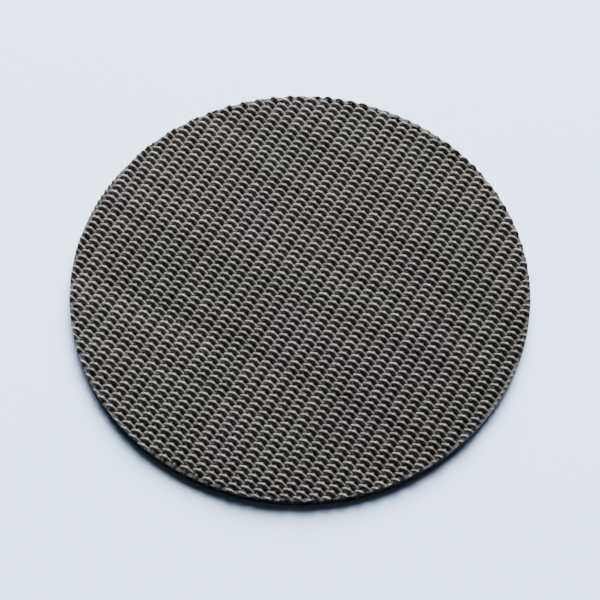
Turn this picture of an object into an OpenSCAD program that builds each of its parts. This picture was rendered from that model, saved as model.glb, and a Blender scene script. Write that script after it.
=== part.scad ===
// Wire mesh filter disc: a round punched from reverse Dutch weave cloth.
// Thick straight weft wires lie side by side. Thin warp wires, packed tight, pass over one weft
// wire and under the next. The rows of bends over the weft wires show as ridges on both faces.
// Every second warp wire takes the opposite path, so a look along the weft shows both paths.
// The cloth is that section carried along the weft wires, then cut round by the punch.
// A grid of open gaps in the valleys stands for the many fine pores between the wires.

/* [Disc] */
// Diameter that the disc is punched to
disc_d = 53; // [30:0.5:80]

/* [Weave] */
// Diameter of the thick, straight weft wires
weft_d = 0.6; // [0.5:0.01:0.72]
// Diameter of the thin warp wires that bend over and under the weft
warp_d = 0.4; // [0.32:0.01:0.48]
// Distance from one weft wire to the next
weft_pitch = 1.41; // [1.28:0.01:1.65]

/* [Hidden] */
$fn = 64;

// Outside of a warp wire where it bends over a weft wire
crest_r = weft_d / 2 + warp_d;
// The cloth is as thick as one weft wire with a warp wire above and below it
thickness = 2 * crest_r;
// Between two weft wires the warp runs straight, from the top of one to the underside of the next
leg_slope = asin((weft_d + warp_d) / weft_pitch);
// Where wires press on each other they bed in by this much
bed = warp_d / 25;
// Half the width of a warp leg
leg_out = warp_d / 2 - bed;
// Weft wires to each side of the middle one, with one more that the punch cuts away
rows = ceil(disc_d / 2 / weft_pitch);
// Open gaps through the cloth stand in a square grid, in every third valley
gap_step = 3 * weft_pitch;
gap_side = ceil(disc_d / 2 / gap_step);
gap_w = (weft_pitch - weft_d) / 4;
gap_len = 0.6 * gap_step;
// The gaps keep this far from the rim
gap_edge = weft_pitch / 2;

// Corner of the outline where a warp leg leaves the bend over weft wire i, to the side given
function leg_start(i, side) = [
    i * weft_pitch + side * (crest_r - bed) * sin(leg_slope),
    (crest_r - bed) * cos(leg_slope)
];

// Bottom of the valley after weft wire i, where two warp legs cross
function valley(i) = [(i + 0.5) * weft_pitch, leg_out / cos(leg_slope)];

// Both warp paths in one outline, from valley to valley over each weft wire
module warp_legs() {
    upper = [
        for (i = [-rows : rows])
            each [valley(i - 1), leg_start(i, -1), leg_start(i, 1)],
        valley(rows)
    ];
    count = len(upper);
    lower = [for (k = [count - 1 : -1 : 0]) [upper[k][0], -upper[k][1]]];
    polygon(concat(upper, lower));
}

// Gap between two weft wires where the warp wires part and let the flow through
module gap(x, y) {
    if (norm([abs(x) + gap_w / 2, abs(y) + gap_len / 2]) < disc_d / 2 - gap_edge)
        translate([x, y, 0])
            cube([gap_w, gap_len, 2 * thickness], center = true);
}

// Carries a section along the weft wires, past the rim on both sides
module along_weft() {
    rotate([90, 0, 0])
        linear_extrude(height = disc_d + weft_pitch, center = true)
            children();
}

// Woven cloth, before it is punched
module cloth() {
    difference() {
        union() {
            along_weft() warp_legs();
            for (i = [-rows : rows])
                translate([i * weft_pitch, 0, 0])
                    along_weft() circle(r = crest_r);
        }
        for (i = [-gap_side : gap_side - 1], j = [-gap_side : gap_side - 1])
            gap((i + 0.5) * gap_step, (j + 0.5) * gap_step);
    }
}

module mesh_disc() {
    color([0.31, 0.30, 0.29])
        translate([0, 0, crest_r])
            intersection() {
                cloth();
                cylinder(d = disc_d, h = thickness + weft_d, center = true, $fn = 240);
            }
}

mesh_disc();
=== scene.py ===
import math
import random

import bpy
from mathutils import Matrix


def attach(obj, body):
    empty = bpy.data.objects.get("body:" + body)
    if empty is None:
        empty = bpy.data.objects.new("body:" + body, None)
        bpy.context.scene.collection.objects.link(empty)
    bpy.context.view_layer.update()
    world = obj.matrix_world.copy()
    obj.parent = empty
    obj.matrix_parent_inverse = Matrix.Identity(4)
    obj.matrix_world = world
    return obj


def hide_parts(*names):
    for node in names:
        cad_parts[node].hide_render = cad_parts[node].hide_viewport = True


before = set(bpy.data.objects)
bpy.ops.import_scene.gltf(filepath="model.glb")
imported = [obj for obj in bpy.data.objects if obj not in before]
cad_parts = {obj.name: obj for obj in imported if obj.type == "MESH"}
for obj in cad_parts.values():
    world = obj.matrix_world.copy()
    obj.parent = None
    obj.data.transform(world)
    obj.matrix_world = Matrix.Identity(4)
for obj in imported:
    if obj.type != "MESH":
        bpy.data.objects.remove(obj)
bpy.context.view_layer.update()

# Weft wires
# Thick straight steel wires that lie side by side through the middle of the cloth. Each is plain
# drawn round wire, hidden by the warp except for its ends, which the punch cuts off at the rim.
mm = 0.001
disc_r = 26.5 * mm
cloth_t = 1.4 * mm
mid_z = cloth_t / 2
weft_r = 0.30 * mm
weft_pitch = 1.41 * mm
weft_side = 18
weft_count = 2 * weft_side + 1
weft_facets = 20
weft_tone = 0.053
warp_pitch = 0.4032 * mm
rod_length = 2.2 * disc_r
# The weft wires are divided along their length so that they can sway
sway_step = 2.0 * mm
sway_cuts = 14
sway_reach = 0.10 * mm
sway_scales = (("X", 9 * mm), ("Y", 13 * mm))
punch_facets = 360
crease = math.radians(50)
# A face counts as cut when it lies this near the rim and looks outwards
cut_band = 0.05 * mm
cut_facing = 0.98
# Painted shade: the sheared wire ends are given dark tones so that the near edge stays dark
painted_shade_cut_tones = (0.017, 0.044)


def clear_selection():
    if bpy.context.object is not None and bpy.context.object.mode != "OBJECT":
        bpy.ops.object.mode_set(mode="OBJECT")
    bpy.ops.object.select_all(action="DESELECT")


def apply_modifier(piece, modifier):
    clear_selection()
    piece.select_set(True)
    bpy.context.view_layer.objects.active = piece
    bpy.ops.object.modifier_apply(modifier=modifier.name)


def rod_along_weft(radius, facets):
    """A round rod on the line of the first weft wire that runs past the rim at both ends."""
    clear_selection()
    bpy.ops.mesh.primitive_cylinder_add(
        vertices=facets,
        radius=radius,
        depth=rod_length,
        location=(-weft_side * weft_pitch, 0, mid_z),
        rotation=(math.pi / 2, 0, 0),
    )
    bpy.ops.object.transform_apply(location=True, rotation=True, scale=True)
    return bpy.context.object


def upright(radius, low, high):
    """A round solid that stands on end, to cut with or to cut from."""
    clear_selection()
    bpy.ops.mesh.primitive_cylinder_add(
        vertices=punch_facets, radius=radius, depth=high - low, location=(0, 0, (low + high) / 2)
    )
    bpy.ops.object.transform_apply(location=True, rotation=True, scale=True)
    return bpy.context.object


def through(radius):
    """A round solid that passes through the whole cloth."""
    return upright(radius, -cloth_t, 2 * cloth_t)


def repeat(piece, step, count, weld=False):
    """Repeats the piece along X, and joins the copies end to end where asked."""
    array = piece.modifiers.new("repeat", "ARRAY")
    array.use_relative_offset = False
    array.use_constant_offset = True
    array.constant_offset_displace = (step, 0, 0)
    array.count = count
    array.use_merge_vertices = weld
    array.merge_threshold = 1e-6
    apply_modifier(piece, array)


def settle(piece):
    """Lets the wires wander a little in the plane of the cloth, all of them alike where they cross."""
    for axis, scale in sway_scales:
        drift = bpy.data.textures.get("drift_" + axis)
        if drift is None:
            drift = bpy.data.textures.new("drift_" + axis, "CLOUDS")
            drift.noise_scale = scale
            drift.noise_depth = 1
        sway = piece.modifiers.new("sway", "DISPLACE")
        sway.texture = drift
        sway.texture_coords = "LOCAL"
        sway.direction = axis
        sway.mid_level = 0.5
        sway.strength = sway_reach
        apply_modifier(piece, sway)


def combine(piece, other, operation):
    """Unites the piece with another solid or cuts it with that solid, and deletes the other."""
    change = piece.modifiers.new("combine", "BOOLEAN")
    change.operation = operation
    change.solver = "MANIFOLD"
    change.object = other
    apply_modifier(piece, change)
    bpy.data.objects.remove(other)


def punch_out(piece, radius):
    """Cuts the piece off round, with each cut closed, and smooths all but its sharp edges."""
    combine(piece, through(radius), "INTERSECT")
    bpy.ops.object.shade_smooth_by_angle(angle=crease)


class Nodes:
    """Adds nodes to a material one after another and links them as they come."""

    def __init__(self, name):
        self.material = bpy.data.materials.new(name)
        self.material.use_nodes = True
        self.tree = self.material.node_tree
        self.shader = self.tree.nodes["Principled BSDF"]

    def add(self, kind, settings=None, **inputs):
        """A new node. Inputs go by name, with _ for a space, or by number as i0, i1 and so on."""
        node = self.tree.nodes.new(kind)
        for key, value in (settings or {}).items():
            setattr(node, key, value)
        for key, value in inputs.items():
            numbered = key[0] == "i" and key[1:].isdigit()
            socket = node.inputs[int(key[1:]) if numbered else key.replace("_", " ")]
            self.feed(socket, value)
        return node

    def feed(self, socket, value):
        if isinstance(value, bpy.types.NodeSocket):
            self.tree.links.new(value, socket)
        else:
            socket.default_value = value

    def math(self, operation, a, b=0.0):
        return self.add("ShaderNodeMath", {"operation": operation}, i0=a, i1=b).outputs[0]

    def product(self, first, *others):
        for other in others:
            first = self.math("MULTIPLY", first, other)
        return first

    def spread(self, value, low, high, to_low, to_high):
        node = self.add("ShaderNodeMapRange", From_Min=low, From_Max=high, To_Min=to_low, To_Max=to_high)
        self.feed(node.inputs["Value"], value)
        return node.outputs[0]

    def noise(self, place, stretch, scale, detail=2.0, rough=0.5):
        turned = self.add("ShaderNodeMapping", Vector=place, Scale=stretch).outputs[0]
        node = self.add("ShaderNodeTexNoise", Vector=turned, Scale=scale, Detail=detail, Roughness=rough)
        return node.outputs["Fac"]

    def finish(self, colour, rough, metal, sheen, bump):
        self.feed(self.shader.inputs["Base Color"], colour)
        self.feed(self.shader.inputs["Roughness"], rough)
        self.shader.inputs["Metallic"].default_value = metal
        self.shader.inputs["Specular IOR Level"].default_value = sheen
        self.feed(self.shader.inputs["Normal"], bump.outputs["Normal"])
        return self.material


def dark_wire(name, tone):
    """Dark steel wire as it leaves the mill: satin oxide of the tone given on the smooth crests, painted
    paler in the valleys as painted light against the shade that falls there. Painted shade makes the
    cloth darker towards +X and towards -Y. Each wire is a little lighter or darker, and soft bands
    cross the cloth."""
    painted_valley_gain = 3.5
    n = Nodes(name)
    place = n.add("ShaderNodeTexCoord").outputs["Object"]
    xyz = n.add("ShaderNodeSeparateXYZ", Vector=place).outputs
    tint = n.add("ShaderNodeValToRGB", Fac=n.noise(place, (1, 1, 1), 95.0, 3.0))
    ramp = tint.color_ramp.elements
    ramp[0].position = 0.30
    ramp[0].color = (1.04, 1.02, 0.84, 1)
    ramp[1].position = 0.72
    ramp[1].color = (1.12, 0.97, 0.94, 1)
    ramp.new(0.5).color = (1.10, 1.0, 0.88, 1)
    number = n.math("ROUND", n.math("DIVIDE", xyz["Y"], warp_pitch))
    lot = n.add("ShaderNodeTexWhiteNoise", {"noise_dimensions": "1D"}, W=number).outputs["Value"]
    each_wire = n.spread(lot, 0.0, 1.0, 0.76, 1.22)
    bands = n.spread(n.noise(place, (0.05, 1, 0.1), 480.0, 1.5), 0.3, 0.7, 0.85, 1.13)
    rows = n.spread(n.noise(place, (1, 0.06, 0.1), 420.0, 2.0), 0.3, 0.7, 0.90, 1.10)
    # Painted shade, as from light falling off across the disc: the colour darkens towards +X and towards -Y
    painted_shade_x = n.spread(xyz["X"], -disc_r, disc_r, 1.14, 0.86)
    painted_shade_y = n.spread(xyz["Y"], -disc_r, disc_r, 0.88, 1.06)
    height = n.math("ABSOLUTE", n.math("SUBTRACT", xyz["Z"], mid_z))
    crest = n.spread(height, 0.30 * mm, 0.68 * mm, 0.0, 1.0)
    # Painted light: the colour is 3.5 times paler in the valleys than on the crests, to lighten the shade
    # that falls there
    painted_valley_light = n.spread(crest, 0.0, 1.0, painted_valley_gain * tone, tone)
    mottle = n.noise(place, (1, 1, 1), 2600.0, 3.0, 0.6)
    specks = n.spread(mottle, 0.3, 0.7, 0.86, 1.12)
    shade = n.product(each_wire, bands, rows, specks, painted_shade_x, painted_shade_y, painted_valley_light)
    scaled = n.add("ShaderNodeVectorMath", {"operation": "SCALE"}, i0=tint.outputs["Color"], Scale=shade)
    worn = n.math("MULTIPLY", crest, 0.08)
    rough = n.math("SUBTRACT", n.spread(mottle, 0.25, 0.75, 0.44, 0.58), worn)
    drawn = n.noise(place, (0.12, 1, 1), 16000.0, 2.0)
    bump = n.add("ShaderNodeBump", Strength=0.35, Distance=0.004 * mm, Height=drawn)
    return n.finish(scaled.outputs["Vector"], rough, metal=0.45, sheen=0.16, bump=bump)


def cut_steel(name, low, high):
    """Steel that the punch sheared, with fine shear lines between the two tones given."""
    n = Nodes(name)
    place = n.add("ShaderNodeTexCoord").outputs["Object"]
    grain = n.noise(place, (1, 1, 0.2), 9000.0, 3.0)
    red = n.spread(grain, 0.3, 0.7, low, high)
    green = n.math("MULTIPLY", red, 0.92)
    blue = n.math("MULTIPLY", red, 0.78)
    colour = n.add("ShaderNodeCombineColor", Red=red, Green=green, Blue=blue).outputs[0]
    rough = n.spread(grain, 0.3, 0.7, 0.36, 0.52)
    bump = n.add("ShaderNodeBump", Strength=0.3, Distance=0.006 * mm, Height=grain)
    return n.finish(colour, rough, metal=0.30, sheen=0.14, bump=bump)


def finish_wires(piece, wire, cut):
    """Gives the piece its finish, with sheared metal on the faces that lie on the cut rim."""
    piece.data.materials.clear()
    piece.data.materials.append(wire)
    piece.data.materials.append(cut)
    for face in piece.data.polygons:
        out = math.hypot(face.center.x, face.center.y)
        facing = (face.normal.x * face.center.x + face.normal.y * face.center.y) / max(out, 1e-9)
        face.material_index = 1 if out > disc_r - cut_band and facing > cut_facing else 0
    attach(piece, "root")
    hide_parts("mesh_disc")


weft = rod_along_weft(weft_r, weft_facets)
weft.name = "weft_wires"
bpy.ops.object.mode_set(mode="EDIT")
for k in range(-sway_cuts, sway_cuts + 1):
    bpy.ops.mesh.select_all(action="SELECT")
    bpy.ops.mesh.bisect(plane_co=(0, k * sway_step, 0), plane_no=(0, 1, 0))
bpy.ops.object.mode_set(mode="OBJECT")
repeat(weft, weft_pitch, weft_count)
settle(weft)
punch_out(weft, disc_r)
sheared = cut_steel("cut_steel", *painted_shade_cut_tones)
finish_wires(weft, dark_wire("weft_steel", weft_tone), sheared)

# Warp wires
# Thin steel wires packed side by side, bent over one weft wire and under the next on the loom.
# Neighbours take opposite paths, so they are made as two sets, one weft wire out of step.
warp_r = 0.2016 * mm
bend_r = 0.5 * mm
slope = math.asin(2 * bend_r / weft_pitch)
leg = math.sqrt(weft_pitch**2 - (2 * bend_r) ** 2)
run = leg * math.cos(slope)
rise = leg * math.sin(slope)
warp_facets = 8
bend_steps = 4
# One stretch of wire passes over one weft wire and under the next
warp_stretches = 20
even_start = -(warp_stretches + 0.5) * weft_pitch
odd_start = even_start + weft_pitch
even_tone = 0.064
odd_tone = 0.056
warp_edge = 0.3 * mm
warp_side = int((disc_r - warp_edge) / warp_pitch)
warp_stray = 0.003 * mm
# Each wire is pulled a little flatter than the full height of the cloth
full_height = 0.985
most_pull = 0.05


def draw_out(x, z):
    bpy.ops.mesh.extrude_edges_move(TRANSFORM_OT_translate={"value": (x, 0, z)})


def bend_over(x, turn):
    bpy.ops.mesh.spin(steps=bend_steps, angle=turn, center=(x, 0, mid_z), axis=(0, 1, 0))


def warp_wire(start_x):
    """One warp wire: a ring drawn up a leg, over a weft wire, down a leg and under the next one,
    then repeated along the cloth."""
    clear_selection()
    bpy.ops.mesh.primitive_circle_add(
        vertices=warp_facets,
        radius=warp_r,
        location=(start_x, 0, mid_z),
        rotation=(0, math.pi / 2 - slope, 0),
    )
    wire = bpy.context.object
    bpy.ops.object.transform_apply(location=True, rotation=True, scale=True)
    bpy.ops.object.mode_set(mode="EDIT")
    bpy.ops.mesh.select_all(action="SELECT")
    draw_out(run / 2, rise / 2)
    bend_over(start_x + 0.5 * weft_pitch, -2 * slope)
    draw_out(run, -rise)
    bend_over(start_x + 1.5 * weft_pitch, 2 * slope)
    draw_out(run / 2, rise / 2)
    bpy.ops.object.mode_set(mode="OBJECT")
    repeat(wire, 2 * weft_pitch, warp_stretches, weld=True)
    bpy.ops.object.mode_set(mode="EDIT")
    bpy.ops.mesh.select_all(action="SELECT")
    bpy.ops.mesh.remove_doubles(threshold=1e-7)
    bpy.ops.mesh.fill_holes(sides=0)
    bpy.ops.mesh.normals_make_consistent(inside=False)
    bpy.ops.object.mode_set(mode="OBJECT")
    return wire


loom = random.Random(18)
for name, first, start_x, tone in (
    ("warp_wires_even", 0, even_start, even_tone),
    ("warp_wires_odd", 1, odd_start, odd_tone),
):
    wire = warp_wire(start_x)
    lengths = []
    for k in range(-warp_side, warp_side + 1):
        if k % 2 != first:
            continue
        height = full_height - most_pull * loom.random() ** 2
        y = k * warp_pitch + loom.uniform(-warp_stray, warp_stray)
        copy = wire.copy()
        copy.data = wire.data.copy()
        bpy.context.collection.objects.link(copy)
        copy.location = (0, y, mid_z * (1 - height))
        copy.scale = (1, 1, height)
        lengths.append(copy)
    bpy.data.objects.remove(wire)
    clear_selection()
    for copy in lengths:
        copy.select_set(True)
    bpy.context.view_layer.objects.active = lengths[0]
    bpy.ops.object.transform_apply(location=True, rotation=True, scale=True)
    bpy.ops.object.join()
    warp = bpy.context.object
    warp.name = name
    settle(warp)
    punch_out(warp, disc_r)
    finish_wires(warp, dark_wire(name + "_steel", tone), sheared)

# Sheared rim
# The outermost ring of the cloth, where the punch pressed the steel wires together as it cut them.
# It fills the gaps between the wire ends, below the crests of both faces and just inside the cut,
# and ends in a thin burr that the punch dragged down. Its steel is coloured near black, as painted
# shade in the gaps between the wire ends and along the edge.
rim_r = disc_r - 0.012 * mm
rim_width = 0.42 * mm
rim_valley = 0.30 * mm
rim_crest = 0.50 * mm
rim_crest_facets = 24
# Painted shade: the ring and its cut face are near black, so they read as shade between the wire ends
painted_shade_rim_tone = 0.008
painted_shade_rim_cut_tones = (0.002, 0.007)
burr_width = 0.08 * mm
burr_foot = 0.06 * mm
# Both blanks are wider than the rim that is cut from them
rim_blank_r = 1.05 * disc_r
burr_blank_r = 1.04 * disc_r

crests = rod_along_weft(rim_crest, rim_crest_facets)
repeat(crests, weft_pitch, weft_count)
rim = upright(rim_blank_r, mid_z - rim_valley, mid_z + rim_valley)
rim.name = "sheared_rim"
combine(rim, crests, "UNION")
combine(rim, through(rim_r - rim_width), "DIFFERENCE")
burr = upright(burr_blank_r, burr_foot, mid_z)
combine(burr, through(rim_r - burr_width), "DIFFERENCE")
combine(rim, burr, "UNION")
punch_out(rim, rim_r)
finish_wires(rim, dark_wire("pressed_steel", painted_shade_rim_tone), cut_steel("smeared_steel", *painted_shade_rim_cut_tones))

# Table and light
# A sheet of pale paper, and the soft daylight of one large window low behind the disc, which
# leaves its near edge and a narrow strip of the paper in shade.
paper_size = 4.0
paper_colour = (0.66, 0.79, 0.99, 1)
paper_rough = 0.8
azimuth = math.radians(29.2)
sky_colour = (0.84, 0.91, 1.0, 1)
sky_edge = 0.8
sky_dim = 0.03
sky_bright = 25.4
window_size = 0.40
window_power = 17.4
window_colour = (0.97, 0.98, 1.0)


def on_table(right, away, up):
    """A place given as the camera sees it: to the right, away from it and up."""
    return (
        right * math.cos(azimuth) - away * math.sin(azimuth),
        right * math.sin(azimuth) + away * math.cos(azimuth),
        up,
    )


clear_selection()
bpy.ops.mesh.primitive_plane_add(size=paper_size, location=(0, 0, 0))
floor = bpy.context.object
floor.name = "floor"
paper = Nodes("pale_paper")
paper.shader.inputs["Base Color"].default_value = paper_colour
paper.shader.inputs["Roughness"].default_value = paper_rough
floor.data.materials.append(paper.material)

room = bpy.data.worlds.new("soft_room")
bpy.context.scene.world = room
room.use_nodes = True
nodes = room.node_tree.nodes
links = room.node_tree.links
sky = nodes["Background"]
sky.inputs["Color"].default_value = sky_colour
look_up = nodes.new("ShaderNodeTexCoord")
towards_window = nodes.new("ShaderNodeVectorMath")
towards_window.operation = "DOT_PRODUCT"
towards_window.inputs[1].default_value = on_table(0.12, 0.88, 0.46)
glow = nodes.new("ShaderNodeMapRange")
glow.inputs["From Min"].default_value = sky_edge
glow.inputs["From Max"].default_value = 1.0
glow.inputs["To Min"].default_value = sky_dim
glow.inputs["To Max"].default_value = sky_bright
links.new(look_up.outputs["Generated"], towards_window.inputs[0])
links.new(towards_window.outputs["Value"], glow.inputs["Value"])
links.new(glow.outputs["Result"], sky.inputs["Strength"])

clear_selection()
bpy.ops.object.light_add(type="AREA", location=on_table(0.076, 0.56, 0.32))
window = bpy.context.object
window.name = "window"
window.data.size = window_size
window.data.energy = window_power
window.data.color = window_colour
window.rotation_euler = (-window.location).to_track_quat("-Z", "Y").to_euler()

# Camera
# It looks down on the disc as the photograph does, from the same side of the ridges. The disc lies in
# the middle of the picture and takes up about three quarters of its width.
elevation = math.radians(61.6)
distance = 0.286
aim_near = 1.1 * mm
view_width = 69 * mm
sensor = 36
near_clip = 0.01
bpy.ops.object.camera_add(
    location=on_table(0, -distance * math.cos(elevation) - aim_near, mid_z + distance * math.sin(elevation)),
    rotation=(math.pi / 2 - elevation, 0, azimuth),
)
camera = bpy.context.object
camera.data.sensor_width = sensor
camera.data.lens = sensor * distance / view_width
camera.data.clip_start = near_clip
bpy.context.scene.camera = camera
